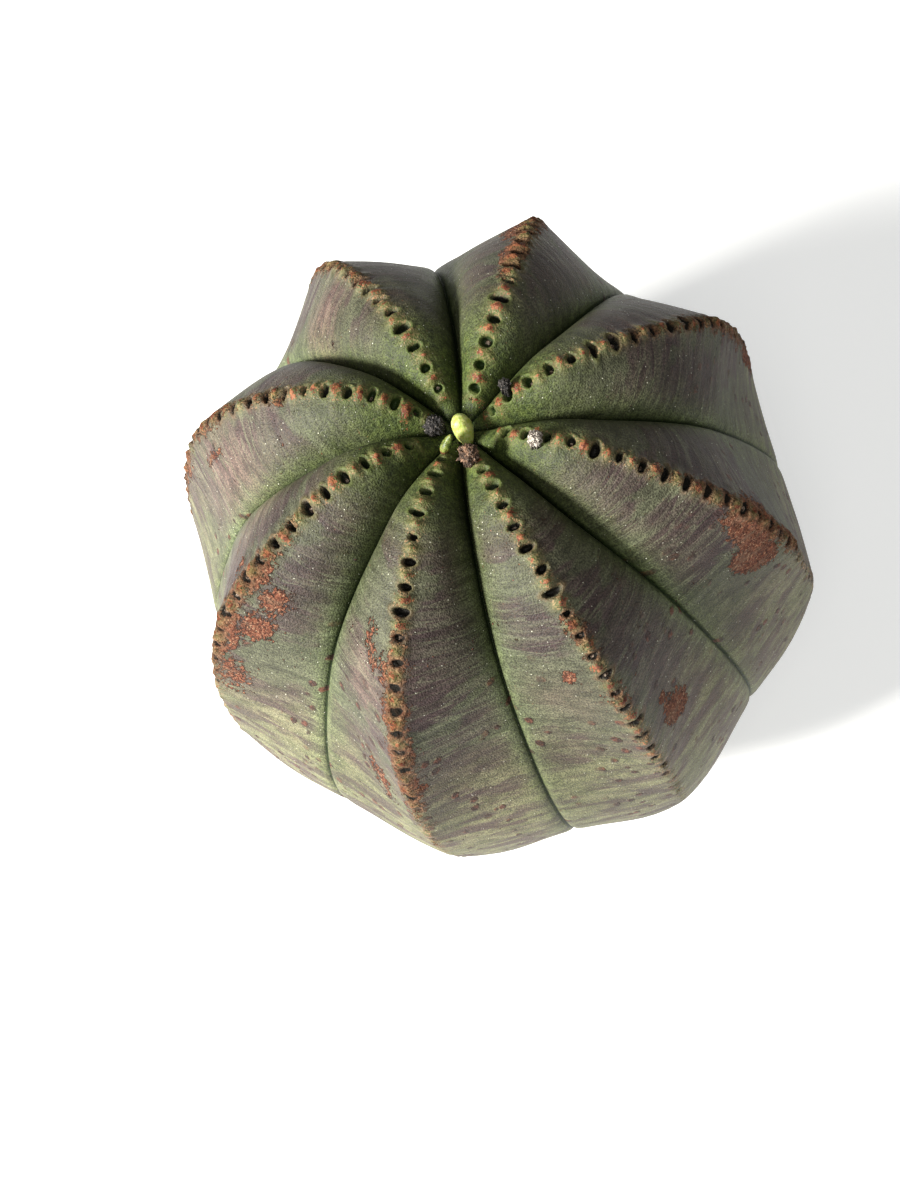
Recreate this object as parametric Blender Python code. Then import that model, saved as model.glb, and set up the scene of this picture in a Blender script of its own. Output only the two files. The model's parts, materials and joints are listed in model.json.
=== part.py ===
"""Baseball plant: an eight-ribbed succulent stem as lifted from its pot, with its root trimmed off.

The stem is one solid whose surface follows a formula. Every rib has a crest and shares a furrow with
each neighbour. Crest and furrow are two outlines from the crown to the underside, and the flank between
them blends one into the other. A zip of leaf-scar teeth and flowering pits runs down every crest.
The root stub, the buds and the dried flowers at the crown are solids of their own.
Run with: blender --background --python part.py
"""

import math

import bmesh
import bpy
from mathutils import Matrix, Vector, noise
from mathutils.bvhtree import BVHTree

MM = 0.001

# Crest and furrow outlines, from the middle of the crown to the rim of the root recess:
# (distance from the axis, height above the surface that the plant stands on), in mm, pair by pair.
CREST_OUTLINE = (
    (0.0, 73.2), (8.0, 77.8), (16.5, 79.5), (28.8, 75.2), (38.0, 68.2), (43.8, 58.0), (46.9, 46.0),
    (48.0, 33.4), (46.1, 21.0), (40.3, 9.8), (32.2, 2.4), (25.0, 0.1), (17.0, 0.9), (10.6, 2.7),
)
FURROW_OUTLINE = (
    (0.0, 73.2), (7.5, 74.5), (13.4, 74.2), (23.9, 70.9), (31.7, 65.6), (37.8, 57.0), (43.2, 45.5),
    (45.2, 34.0), (43.6, 22.6), (38.6, 11.6), (31.2, 3.9), (24.2, 1.2), (16.6, 1.3), (10.6, 2.8),
)

# Each rib: the compass angle of its crest, how far it leans round per radian down the stem (degrees),
# how much it stands out (share of its radius), and how far its pits are shifted down the crest (mm).
RIBS = (
    (103.6, 9.1, -0.02, 0.9),
    (53.6, 11.5, -0.07, 0.5),
    (5.4, 8.4, -0.055, 0.0),
    (-38.1, 6.2, -0.02, 2.8),
    (-82.0, 4.8, 0.00, 1.7),
    (-123.7, 4.7, 0.03, 1.1),
    (-166.8, 4.0, 0.04, 2.7),
    (-210.4, 8.5, 0.02, 0.9),
)
LEAN_ORIGIN = Vector((0.0, 50.9))  # the point, in mm, that the lean is counted round
LEAN_FROM = 1.0  # radians from straight up at which a rib is at its compass angle
LEAN_ENDS = 2.4

# Teeth and pits
FIRST_PIT = 5.5  # mm along the crest from the middle of the crown
NEWEST_SIZE = 0.45  # size of the newest pits and teeth, next to that of full-grown ones
PIT_PITCH = 3.1
PITS_PER_RIB = 26
TOOTH_HEIGHT = 0.4
TOOTH_REACH = 1.5  # how far a tooth spreads to each side of the crest
PIT_DEPTH = 1.1
PIT_REACH = 1.35
FADE_FROM, FADE_TO = 40.0, 84.0  # mm along the crest where age wears teeth and pits down
WORN_AWAY = 0.8  # share of their size that is worn away there

# Flanks
KEEL = 2.1  # how sharply the old crest stands out of its flank
LOBE = 1.7  # how full the young rib is beside its furrow
LOBE_ENDS, KEEL_STARTS = 14.0, 58.0  # mm along the crest
KEEL_ENDS, SMOOTH_FROM = 68.0, 96.0  # mm along the crest where the keel flattens out again
FURROW_NOTCH_YOUNG, FURROW_NOTCH = 2.4, 1.0  # mm that the seam is pinched in, young and old
NOTCH_YOUNG_TO, NOTCH_OLD_FROM = 10.0, 60.0  # mm along the crest
NOTCH_GONE, NOTCH_FADES = 3.0, 14.0  # mm before the end of the crest
FURROW_PINCH = 1.3  # mm to each side over which it is pinched
SLOPE_STEP = 0.02  # share of an outline's step over which its slope is measured
SWELL = 0.5  # mm of slow unevenness
SWELL_SIZE = 17.0  # mm across one swell

# Root recess in the underside, and the trimmed root in it
RECESS_RADIUS, RECESS_TOP = 10.4, 6.1  # mm
SEAT_GAP = 0.3  # mm between one piece and the next
ROOT_RADIUS, ROOT_TOP = RECESS_RADIUS - SEAT_GAP, RECESS_TOP - SEAT_GAP
# Height, share of the radius
ROOT_OUTLINE = ((0.0, 0.94), (0.5, 1.0), (2.4, 1.0), (4.2, 0.98), (ROOT_TOP, 0.93))
ROOT_FLUTE = 0.05  # share of the radius

STEM_GREEN = (0.17, 0.19, 0.13)
ROOT_BROWN = (0.24, 0.15, 0.08)
BUD_GREEN = (0.42, 0.55, 0.10)
DRY_BROWN = (0.10, 0.07, 0.05)


def outline_at(outline, t):
    """The point of an outline at parameter t, on a smooth curve through its knots."""
    last = len(outline) - 1
    i = min(int(t), last - 1)
    f = t - i
    before = Vector(outline[max(i - 1, 0)])
    if i == 0:
        before = Vector((-outline[1][0], outline[1][1]))
    start, end = Vector(outline[i]), Vector(outline[i + 1])
    after = Vector(outline[min(i + 2, last)])
    return (
        start * 2
        + (end - before) * f
        + (before * 2 - start * 5 + end * 4 - after) * f * f
        + (start * 3 - before - end * 3 + after) * f * f * f
    ) / 2


def crest_table(steps=900):
    """Distances along the crest outline, one for each of the evenly spaced parameters."""
    last = len(CREST_OUTLINE) - 1
    points = [outline_at(CREST_OUTLINE, last * i / steps) for i in range(steps + 1)]
    lengths = [0.0]
    for one, two in zip(points, points[1:]):
        lengths.append(lengths[-1] + (two - one).length)
    return lengths


CREST_LENGTHS = crest_table()
CREST_END = CREST_LENGTHS[-1]


def parameter_at(along):
    """The outline parameter at a distance along the crest, in mm."""
    low, high = 0, len(CREST_LENGTHS) - 1
    while high - low > 1:
        middle = (low + high) // 2
        if CREST_LENGTHS[middle] <= along:
            low = middle
        else:
            high = middle
    step = (along - CREST_LENGTHS[low]) / (CREST_LENGTHS[high] - CREST_LENGTHS[low])
    return (low + min(max(step, 0.0), 1.0)) * (len(CREST_OUTLINE) - 1) / (len(CREST_LENGTHS) - 1)


def ramp(value, low, high):
    """0 below low, 1 above high, and smooth between."""
    f = min(max((value - low) / (high - low), 0.0), 1.0)
    return f * f * (3 - 2 * f)


def half_width(radius):
    """Half a rib's width, in mm, at a distance from the axis."""
    return max(radius * math.pi / len(RIBS), 0.4)


def flank_share(across, along):
    """How much of the crest's stand-out is left at a share of the way from the crest to the furrow."""
    young = 1 - across**LOBE
    keeled = (1 - across) ** KEEL
    smooth = (1 + math.cos(math.pi * across)) / 2
    old = keeled + (smooth - keeled) * ramp(along, KEEL_ENDS, SMOOTH_FROM)
    return young + (old - young) * ramp(along, LOBE_ENDS, KEEL_STARTS)


def zip_relief(along, aside, phase):
    """Height of the teeth and depth of the pits, in mm, at a place near the crest."""
    turn = (along - FIRST_PIT - phase) / PIT_PITCH
    if turn < -0.5 or turn > PITS_PER_RIB - 0.5:
        return 0.0
    wave = math.cos(2 * math.pi * turn)
    worn = 1 - WORN_AWAY * ramp(along, FADE_FROM, FADE_TO)
    grown = NEWEST_SIZE + (1 - NEWEST_SIZE) * ramp(along, FIRST_PIT - PIT_PITCH, FIRST_PIT + 2 * PIT_PITCH)
    pit = max(wave, 0.0) * PIT_DEPTH * math.exp(-((aside / PIT_REACH) ** 2))
    tooth = max(-wave, 0.0) * TOOTH_HEIGHT * math.exp(-((aside / TOOTH_REACH) ** 2))
    return (tooth - pit) * worn * grown


def compass(rib, outward, height):
    """The crest's angle round the axis, in radians, where the outline has this radius and height."""
    angle, lean = RIBS[rib % len(RIBS)][:2]
    if rib >= len(RIBS):
        angle -= 360
    if rib < 0:
        angle += 360
    down = math.atan2(outward, height - LEAN_ORIGIN.y)
    return math.radians(angle + lean * (min(down, LEAN_ENDS) - LEAN_FROM))


def stem_point(rib, side, across, along):
    """A point of the stem, in metres: across runs from the crest, 0, to the furrow on that side, 1."""
    t = parameter_at(along)
    crest, furrow = outline_at(CREST_OUTLINE, t), outline_at(FURROW_OUTLINE, t)
    share = flank_share(across, along)
    place = furrow.lerp(crest, share)
    out, phase = RIBS[rib][2:]
    next_out = RIBS[(rib + side) % len(RIBS)][2]
    stand_out = out + (next_out - out) * across / 2
    upright = math.sin(math.pi * min(along / CREST_END, 1.0)) ** 2
    place.x *= 1 + stand_out * upright

    reach = half_width(place.x)
    ahead, behind = min(t + SLOPE_STEP, len(CREST_OUTLINE) - 1), max(t - SLOPE_STEP, 0.0)
    slope = outline_at(CREST_OUTLINE, ahead) - outline_at(CREST_OUTLINE, behind)
    outward = Vector((-slope.y, slope.x)).normalized()
    aged = ramp(along, NOTCH_YOUNG_TO, NOTCH_OLD_FROM)
    notch = FURROW_NOTCH_YOUNG + (FURROW_NOTCH - FURROW_NOTCH_YOUNG) * aged
    notch *= ramp(place.x, 1.0, 9.0) * (1 - ramp(along, CREST_END - NOTCH_FADES, CREST_END - NOTCH_GONE))
    pinch = notch * math.exp(-(1 - across) * reach / FURROW_PINCH)
    place += outward * (zip_relief(along, across * reach, phase) - pinch)

    here = compass(rib, place.x, place.y)
    there = compass(rib + side, place.x, place.y)
    angle = here + (there - here) * across / 2
    point = Vector((place.x * math.cos(angle), place.x * math.sin(angle), place.y))
    lift = SWELL * noise.noise(point / SWELL_SIZE) * ramp(place.x, 4.0, 20.0) * ramp(place.y, 1.0, 8.0)
    point += Vector((outward.x * math.cos(angle), outward.x * math.sin(angle), outward.y)) * lift
    point.z = max(point.z, 0.0)
    return point * MM


def shares_across(radius):
    """Where the columns of one flank are: close together at the zip and at the furrow."""
    reach = half_width(radius)
    first = min(1.2 / reach, 0.20)
    second = min(2.6 / reach, 0.42)
    last = 1 - min(1.1 / reach, 0.16)
    middle = [second + (last - second) * f for f in (0.36, 0.70)]
    return [0.0, first, second, *middle, last, 1.0]


def row_places():
    """Distances along the crest of the coarse rows. The zip's rows are one pitch apart, tooth to tooth."""
    crown = [1.4, 2.9]
    zip_rows = [FIRST_PIT + PIT_PITCH * (i - 0.5) for i in range(PITS_PER_RIB + 1)]
    below = CREST_END - zip_rows[-1]
    rest = [zip_rows[-1] + below * f for f in (0.10, 0.22, 0.35, 0.48, 0.60, 0.72, 0.84, 1.0)]
    return crown, zip_rows, rest


def furrow_phase(rib, side):
    """Rows meet halfway between the phases of the two ribs at their furrow."""
    return (RIBS[rib][3] + RIBS[(rib + side) % len(RIBS)][3]) / 2


def stem_rows(mesh):
    """Vertices of every coarse row, and of the extra row through each pit, by rib, side and column."""
    crown, zip_rows, rest = row_places()
    coarse = crown + zip_rows + rest
    places = {}
    zip_start, zip_end = len(crown), len(crown) + len(zip_rows) - 1

    def add(key, rib, side, column, along, eased):
        radius = outline_at(CREST_OUTLINE, parameter_at(along)).x
        share = shares_across(radius)[column]
        shift = RIBS[rib][3] + (furrow_phase(rib, side) - RIBS[rib][3]) * share
        where = stem_point(rib, side, share, min(along + shift * eased, CREST_END))
        places[key] = mesh.verts.new(where)

    def shared(row, rib, side, column):
        """One vertex serves both sides at a crest, and both ribs at a furrow."""
        if column == 0:
            return (row, rib, 1, 0)
        if column == 6 and side < 0:
            return (row, (rib - 1) % len(RIBS), 1, 6)
        return (row, rib, side, column)

    for row, along in enumerate(coarse):
        eased = ramp(along, 0.0, FIRST_PIT) * (1 - ramp(along, rest[2], rest[-2]))
        for rib in range(len(RIBS)):
            for side in (1, -1):
                for column in range(7):
                    key = shared(row, rib, side, column)
                    if key not in places:
                        add(key, rib, side, column, along, eased)
    for row in range(zip_start, zip_end):
        for rib in range(len(RIBS)):
            for side in (1, -1):
                for column in range(3):
                    key = shared(row + 0.5, rib, side, column)
                    if key not in places:
                        add(key, rib, side, column, coarse[row] + PIT_PITCH / 2, 1.0)
    return places, shared, len(coarse), zip_start, zip_end


def build_stem():
    """The ribbed stem, closed over the crown and over the root recess in its underside."""
    mesh = bmesh.new()
    places, shared, rows, zip_start, zip_end = stem_rows(mesh)

    def quad(rib, side, top, low, column):
        corners = ((top, column), (low, column), (low, column + 1), (top, column + 1))
        mesh.faces.new([places[shared(row, rib, side, c)] for row, c in corners])

    def seam(rib, side, row):
        """Joins the zip's close rows to the flank's wider ones."""
        corners = ((row, 2), (row + 0.5, 2), (row + 1, 2), (row + 1, 3), (row, 3))
        mesh.faces.new([places[shared(r, rib, side, c)] for r, c in corners])

    def strip(rib, side, row):
        """One row of faces, from the crest to the furrow on this side."""
        if not zip_start <= row < zip_end:
            for column in range(6):
                quad(rib, side, row, row + 1, column)
            return
        for column in range(2):
            quad(rib, side, row, row + 0.5, column)
            quad(rib, side, row + 0.5, row + 1, column)
        seam(rib, side, row)
        for column in range(3, 6):
            quad(rib, side, row, row + 1, column)

    for row in range(rows - 1):
        for rib in range(len(RIBS)):
            strip(rib, 1, row)
            strip(rib, -1, row)

    def ring(row):
        loop = []
        for rib in reversed(range(len(RIBS))):
            loop += [places[shared(row, rib, 1, c)] for c in range(6, -1, -1)]
            loop += [places[shared(row, rib, -1, c)] for c in range(1, 6)]
        return loop

    def close(loop, tip):
        centre = mesh.verts.new(tip)
        for one, two in zip(loop, loop[1:] + loop[:1]):
            mesh.faces.new([one, two, centre])

    close(ring(0), Vector((0, 0, CREST_OUTLINE[0][1])) * MM)
    rim = ring(rows - 1)
    inner = []
    for vertex in rim:
        direction = Vector((vertex.co.x, vertex.co.y, 0)).normalized()
        inner.append(mesh.verts.new(direction * RECESS_RADIUS * MM + Vector((0, 0, RECESS_TOP * MM))))
    for i in range(len(rim)):
        j = (i + 1) % len(rim)
        mesh.faces.new([rim[i], rim[j], inner[j], inner[i]])
    close(inner, Vector((0, 0, RECESS_TOP)) * MM)

    bmesh.ops.triangulate(mesh, faces=mesh.faces[:])
    bmesh.ops.recalc_face_normals(mesh, faces=mesh.faces[:])
    return mesh


def build_root(sides=32):
    """The trimmed root: a short, slightly fluted stub with a flat cut at the bottom."""
    mesh = bmesh.new()
    rings = []
    for height, share in ROOT_OUTLINE:
        ring = []
        for i in range(sides):
            angle = 2 * math.pi * i / sides
            flute = 1 - ROOT_FLUTE * (2 + math.sin(3 * angle + 0.6) + math.sin(7 * angle)) / 4
            radius = ROOT_RADIUS * share * flute
            place = Vector((radius * math.cos(angle), radius * math.sin(angle), height))
            ring.append(mesh.verts.new(place * MM))
        rings.append(ring)
    for low, high in zip(rings, rings[1:]):
        for i in range(sides):
            j = (i + 1) % sides
            mesh.faces.new([low[i], low[j], high[j], high[i]])
    mesh.faces.new(list(reversed(rings[0])))
    mesh.faces.new(rings[-1])
    bmesh.ops.recalc_face_normals(mesh, faces=mesh.faces[:])
    return mesh


FOOT = 0.08  # share of a bud's length that its flat foot cuts off


def build_bud(length, width, foot_share, top_share, scales=5):
    """A bud, a little ribbed by the scales that wrap it, standing along +Z on a flat foot. The shares say how
    much of its roundness it keeps at the foot and at the top."""
    mesh = bmesh.new()
    bmesh.ops.create_uvsphere(mesh, u_segments=10, v_segments=8, radius=1.0)
    for vertex in mesh.verts:
        height = (vertex.co.z + 1) / 2
        angle = math.atan2(vertex.co.y, vertex.co.x)
        taper = foot_share + (top_share - foot_share) * height
        rib = 1 + 0.07 * math.sin(scales * angle) * math.sin(math.pi * height)
        spread = width / 2 * taper * rib
        rise = (max(height, FOOT) - FOOT) * length
        vertex.co = Vector((vertex.co.x * spread, vertex.co.y * spread, rise)) * MM
    bmesh.ops.recalc_face_normals(mesh, faces=mesh.faces[:])
    return mesh


KNOB_FOOT = 0.55  # how far below its middle a knob's foot is, as a share of half its length


def build_dried_flower(length, width, seed):
    """A shrivelled flower: a low crumpled knob on a flat foot."""
    mesh = bmesh.new()
    bmesh.ops.create_icosphere(mesh, subdivisions=2, radius=1.0)
    for vertex in mesh.verts:
        crumple = 1 + 0.35 * noise.noise(vertex.co * 1.9 + Vector((seed, 0, 0)))
        point = vertex.co * crumple
        rise = (max(point.z, -KNOB_FOOT) + KNOB_FOOT) * length / 2
        vertex.co = Vector((point.x * width / 2, point.y * width / 2, rise)) * MM
    bmesh.ops.recalc_face_normals(mesh, faces=mesh.faces[:])
    return mesh


def finish_surface(name, colour, roughness):
    """A material with the part's colour and roughness."""
    material = bpy.data.materials.new(name)
    material.use_nodes = True
    shader = material.node_tree.nodes["Principled BSDF"]
    shader.inputs["Base Color"].default_value = (*colour, 1.0)
    shader.inputs["Roughness"].default_value = roughness
    shader.inputs["Metallic"].default_value = 0.0
    return material


def add_part(name, mesh, material):
    """Makes the named object from a finished mesh."""
    data = bpy.data.meshes.new(name)
    mesh.to_mesh(data)
    mesh.free()
    data.materials.append(material)
    data.shade_smooth()
    data.set_sharp_from_angle(angle=math.radians(38))
    part = bpy.data.objects.new(name, data)
    bpy.context.scene.collection.objects.link(part)
    return part


def seat_on_stem(mesh, stem_tree, outward, compass_deg, lean_deg, lean_to_deg):
    """Leans a small piece, moves it over its place and lowers it until it is SEAT_GAP above the stem."""
    angle, lean_to = math.radians(compass_deg), math.radians(lean_to_deg)
    axis = Vector((-math.sin(lean_to), math.cos(lean_to), 0))
    above = Vector((outward * math.cos(angle), outward * math.sin(angle), 2 * CREST_OUTLINE[2][1])) * MM
    mesh.transform(Matrix.Translation(above) @ Matrix.Rotation(math.radians(lean_deg), 4, axis))
    drops = []
    for vertex in mesh.verts:
        hit = stem_tree.ray_cast(vertex.co, Vector((0, 0, -1)))
        drops.append(hit[3])
    mesh.transform(Matrix.Translation(Vector((0, 0, SEAT_GAP * MM - min(drops)))))
    return mesh


# Small pieces at the crown: name, length, width, foot share and top share of its roundness, distance from
# the axis, compass angle, lean, lean towards
BUDS = (
    ("flower_bud", 4.6, 2.8, 0.75, 1.1, 2.4, -80.0, 38.0, 92.0),
    ("leaf_bud", 3.2, 1.7, 1.0, 0.5, 4.4, -133.0, 38.0, 20.0),
)
# Name, length, width, distance from the axis, compass angle, lean, lean towards, seed of the crumpling
DRIED_FLOWERS = (
    ("dried_flower_south", 2.4, 2.6, 6.4, -92.0, 12.0, -74.0, 3.0),
    ("dried_flower_west", 2.2, 2.4, 2.9, 163.0, 10.0, 163.0, 7.0),
    ("dried_flower_east", 2.8, 1.8, 11.7, -47.0, 8.0, -42.0, 11.0),
    ("dried_flower_north", 1.6, 1.5, 7.2, 6.0, 14.0, 30.0, 17.0),
)


def main():
    for old in list(bpy.data.objects):
        bpy.data.objects.remove(old, do_unlink=True)

    skin = finish_surface("stem_skin", STEM_GREEN, 0.62)
    bark = finish_surface("root_bark", ROOT_BROWN, 0.9)
    bud_green = finish_surface("bud_green", BUD_GREEN, 0.45)
    dry = finish_surface("dry_flower", DRY_BROWN, 0.95)

    stem = build_stem()
    stem_tree = BVHTree.FromBMesh(stem)
    add_part("stem", stem, skin)
    add_part("root_stub", build_root(), bark)
    for name, length, width, foot_share, top_share, *place in BUDS:
        bud = seat_on_stem(build_bud(length, width, foot_share, top_share), stem_tree, *place)
        add_part(name, bud, bud_green)
    for name, length, width, *place, seed in DRIED_FLOWERS:
        flower = seat_on_stem(build_dried_flower(length, width, seed), stem_tree, *place)
        add_part(name, flower, dry)


main()
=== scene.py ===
import json
import math

import bmesh
import bpy
import numpy as np
from mathutils import Matrix, Vector, noise
from mathutils.bvhtree import BVHTree

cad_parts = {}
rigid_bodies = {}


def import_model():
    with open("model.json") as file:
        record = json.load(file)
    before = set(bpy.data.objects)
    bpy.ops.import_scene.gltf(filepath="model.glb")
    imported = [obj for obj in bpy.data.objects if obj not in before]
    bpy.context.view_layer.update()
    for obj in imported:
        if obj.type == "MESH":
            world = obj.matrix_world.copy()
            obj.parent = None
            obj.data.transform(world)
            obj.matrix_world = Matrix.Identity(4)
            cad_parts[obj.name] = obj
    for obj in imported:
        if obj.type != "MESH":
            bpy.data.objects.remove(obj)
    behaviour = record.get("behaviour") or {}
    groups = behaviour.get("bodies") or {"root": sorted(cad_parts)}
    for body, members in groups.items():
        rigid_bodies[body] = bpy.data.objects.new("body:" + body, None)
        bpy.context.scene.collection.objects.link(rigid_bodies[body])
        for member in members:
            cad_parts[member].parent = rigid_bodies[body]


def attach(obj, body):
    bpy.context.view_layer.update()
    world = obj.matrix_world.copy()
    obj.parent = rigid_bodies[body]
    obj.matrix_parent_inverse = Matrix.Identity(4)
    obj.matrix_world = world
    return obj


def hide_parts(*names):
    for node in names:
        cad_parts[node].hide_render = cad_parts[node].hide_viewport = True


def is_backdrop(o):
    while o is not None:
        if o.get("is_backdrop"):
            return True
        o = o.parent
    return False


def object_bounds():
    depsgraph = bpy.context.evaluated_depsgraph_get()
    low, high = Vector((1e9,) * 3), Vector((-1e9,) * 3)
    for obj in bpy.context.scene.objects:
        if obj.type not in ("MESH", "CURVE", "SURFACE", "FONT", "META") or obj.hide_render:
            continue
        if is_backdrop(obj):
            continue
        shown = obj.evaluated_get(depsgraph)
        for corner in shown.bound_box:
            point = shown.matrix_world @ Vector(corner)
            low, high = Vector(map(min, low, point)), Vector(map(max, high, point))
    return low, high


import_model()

# Dressed baseball plant. The stem repeats the solid's formula on a finer grid, with shaped pits, teeth,
# cork and scars, and carries what its material needs to know as attributes.

MM = 0.001
CAD_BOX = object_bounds()

# Crest and furrow outlines: (distance from the axis, height), in mm, pair by pair
CREST_OUTLINE = (
    (0.0, 73.2), (8.0, 77.8), (16.5, 79.5), (28.8, 75.2), (38.0, 68.2), (43.8, 58.0), (46.9, 46.0),
    (48.0, 33.4), (46.1, 21.0), (40.3, 9.8), (32.2, 2.4), (25.0, 0.1), (17.0, 0.9), (10.6, 2.7),
)
FURROW_OUTLINE = (
    (0.0, 73.2), (7.5, 74.5), (13.4, 74.2), (23.9, 70.9), (31.7, 65.6), (37.8, 57.0), (43.2, 45.5),
    (45.2, 34.0), (43.6, 22.6), (38.6, 11.6), (31.2, 3.9), (24.2, 1.2), (16.6, 1.3), (10.6, 2.8),
)
# Each rib: compass angle of its crest, its lean (degrees per radian), how much it stands out, pit shift (mm)
RIBS = np.array((
    (103.6, 9.1, -0.02, 0.9),
    (53.6, 11.5, -0.07, 0.5),
    (5.4, 8.4, -0.055, 0.0),
    (-38.1, 6.2, -0.02, 2.8),
    (-82.0, 4.8, 0.00, 1.7),
    (-123.7, 4.7, 0.03, 1.1),
    (-166.8, 4.0, 0.04, 2.7),
    (-210.4, 8.5, 0.02, 0.9),
))
# How strong each rib's cork crust is, and how far down the crest it goes, in mm
CRUSTS = np.array((
    (0.75, 75.0), (0.95, 75.0), (0.85, 75.0), (0.90, 60.0),
    (0.60, 50.0), (0.95, 61.0), (0.95, 57.0), (0.75, 75.0),
))
RIB_COUNT = len(RIBS)

# Sizes are in mm, and places along a rib in mm along its crest, unless said otherwise
LEAN_HEIGHT, LEAN_FROM, LEAN_ENDS = 50.9, 1.0, 2.4  # the last two in radians down from the crown
FIRST_PIT, PIT_PITCH, PITS_PER_RIB = 5.5, 3.1, 26
NEWEST_SIZE = 0.45
TOOTH_HEIGHT, PIT_DEPTH = 0.6, 1.5
TOOTH_LENGTH, TOOTH_WIDTH = 0.72, 1.15
PIT_LENGTH, PIT_WIDTH = 0.58, 1.15  # half of each, along the crest and across it, in mm
RIM_AT, RIM_SPREAD = 1.22, 0.26  # in pit sizes from the pit's middle
SCAR_HEIGHT, RIM_HEIGHT, SCAB_HEIGHT = 0.20, 0.26, 0.9
SCAR_LENGTH, SCAB_SIZE, SCAB_RARITY = 0.55, 0.42, 0.66
FADE_FROM, FADE_TO, WORN_AWAY = 46.0, 88.0, 0.8
SHALLOW_FROM, SHALLOW_TO, SHALLOWER = 24.0, 40.0, 0.62
CRUMB_WIDTH, WRINKLE_HEIGHT = 1.7, 0.07
KEEL, LOBE = 2.1, 2.7
LOBE_ENDS, KEEL_STARTS = 14.0, 58.0
KEEL_ENDS, SMOOTH_FROM = 68.0, 96.0
CREST_ROUND = 0.9  # mm over which the older crest is rounded
FURROW_NOTCH_YOUNG, FURROW_NOTCH = 2.4, 0.8
NOTCH_YOUNG_TO, NOTCH_OLD_FROM = 10.0, 60.0
NOTCH_GONE, NOTCH_FADES = 3.0, 14.0
FURROW_PINCH = 0.42
SWELL, SWELL_SIZE = 0.5, 17.0
RIB_SHIFT = 40.0  # keeps the noises of neighbouring ribs apart
NEARBY = 0.02  # of an outline's step, to either side, for its slope
RECESS_RADIUS, RECESS_TOP = 10.4, 6.1
SEAT_GAP = 0.3
FOOT_LAYER, FOOT_GAP, FOOT_REACH = 0.05, 0.09, 1.6  # of the small pieces, in mm

# The grid: rows along the crest and columns from the crest to the furrow
FINE_STEP, FINE_PER_ROW = 0.26, 4  # mm, and fine rows in one coarse row
FINE_FROM, FINE_TO = 0.6, 90.0  # mm along the crest
OLD_STEP = 1.35  # mm between the rows below
ZIP_COLUMNS, ZIP_STEP = 10, 0.3  # columns beside the crest, and mm between them
FLANK_COLUMNS, FLANK_EASE = 12, 1.7

# The repeatable draws, and their keys
DRAW_WEIGHTS, DRAW_START, DRAW_SCALE = (12.9898, 78.233, 37.719), 4.1, 43758.5453
SIZE, CENTRE, LEAN, SCAB = 1.0, 2.0, 3.0, 4.0
PATCH_KEYS = (5.0, 6.0, 7.0)
LENGTH, SCAR_SIZE, SLIP, SCAR_WIDTH, WIDTH = 8.0, 9.0, 10.0, 11.0, 12.0

# Cork patches: rib, mm from the crest (negative is anticlockwise), mm along it, half width, half length,
# turn in degrees, strength
PATCHES = (
    (3, 0.8, 45.5, 3.2, 5.6, 0, 1.0), (3, 4.0, 51.2, 2.6, 3.8, 20, 1.0),
    (3, -0.6, 55.0, 1.4, 5.0, 0, 0.6),
    (4, -5.7, 57.8, 2.2, 2.9, 30, 0.9), (4, -4.6, 53.9, 0.7, 0.9, 0, 0.8),
    (4, 4.0, 41.2, 0.8, 1.3, 0, 1.0),
    (6, -0.8, 34.5, 2.0, 5.0, 0, 0.58), (6, -4.5, 37.0, 2.2, 2.8, 0, 0.62),
    (6, -4.2, 42.5, 2.6, 3.2, 0, 0.62), (6, -0.8, 45.5, 2.4, 5.0, 0, 0.64),
    (6, 2.6, 37.0, 1.0, 2.0, 0, 0.45), (6, -2.5, 54.0, 3.0, 5.0, 0, 0.46),
    (5, 4.3, 34.0, 1.2, 4.2, 0, 0.52), (5, 2.0, 36.5, 1.4, 2.0, 0, 0.46),
    (5, 0.2, 41.0, 2.2, 4.0, 0, 0.62), (5, 5.5, 58.5, 2.0, 4.5, 20, 0.50),
    (5, 0.5, 50.0, 1.8, 4.0, 0, 0.48), (5, -1.0, 55.0, 2.0, 3.0, 0, 0.42),
    (1, -0.6, 28.0, 1.8, 6.5, 0, 0.70), (1, -1.2, 36.0, 2.6, 4.5, 0, 0.64),
    (2, 2.2, 62.0, 1.6, 6.5, 0, 0.65), (2, 0.5, 38.0, 1.2, 6.0, 0, 0.50),
    (7, -4.1, 42.2, 0.8, 3.6, 0, 0.55), (7, -1.2, 26.0, 0.8, 1.4, 0, 0.48),
    (0, 0.2, 33.0, 1.0, 6.0, 0, 0.46),
)
HIDDEN_PATCHES = 3  # more of them on the lower part of each rib, by a seeded draw
# Purple blushes: rib, mm from the crest, mm along it, half width, half length, strength
BLUSHES = (
    (0, -6.6, 31.8, 5.0, 4.0, 1.0), (0, 5.0, 30.0, 4.0, 6.0, 0.5),
    (1, 6.0, 30.0, 5.0, 7.0, 0.9), (1, -5.0, 32.0, 4.0, 6.0, 0.6),
    (2, 8.0, 38.0, 5.0, 9.0, 0.9), (2, -5.0, 40.0, 5.0, 8.0, 0.8),
    (3, 9.5, 38.0, 6.0, 6.5, 1.0), (3, -6.0, 36.0, 6.0, 9.0, 0.9), (3, 12.0, 61.0, 5.0, 4.0, 0.5),
    (4, -8.0, 41.0, 6.0, 7.5, 1.0), (4, 6.0, 33.0, 5.0, 5.0, 0.8), (4, 11.0, 56.0, 6.0, 5.0, 0.6),
    (5, -6.5, 33.0, 6.0, 8.0, 1.0), (5, 8.5, 39.0, 4.0, 7.0, 0.9), (5, 8.0, 55.0, 4.0, 6.0, 0.7),
    (6, -8.5, 33.0, 6.0, 9.0, 1.0), (6, 6.0, 30.0, 4.0, 7.0, 0.8),
    (7, -6.0, 33.0, 4.0, 7.0, 0.8), (7, 6.0, 28.0, 4.0, 6.0, 0.5),
)
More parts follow.
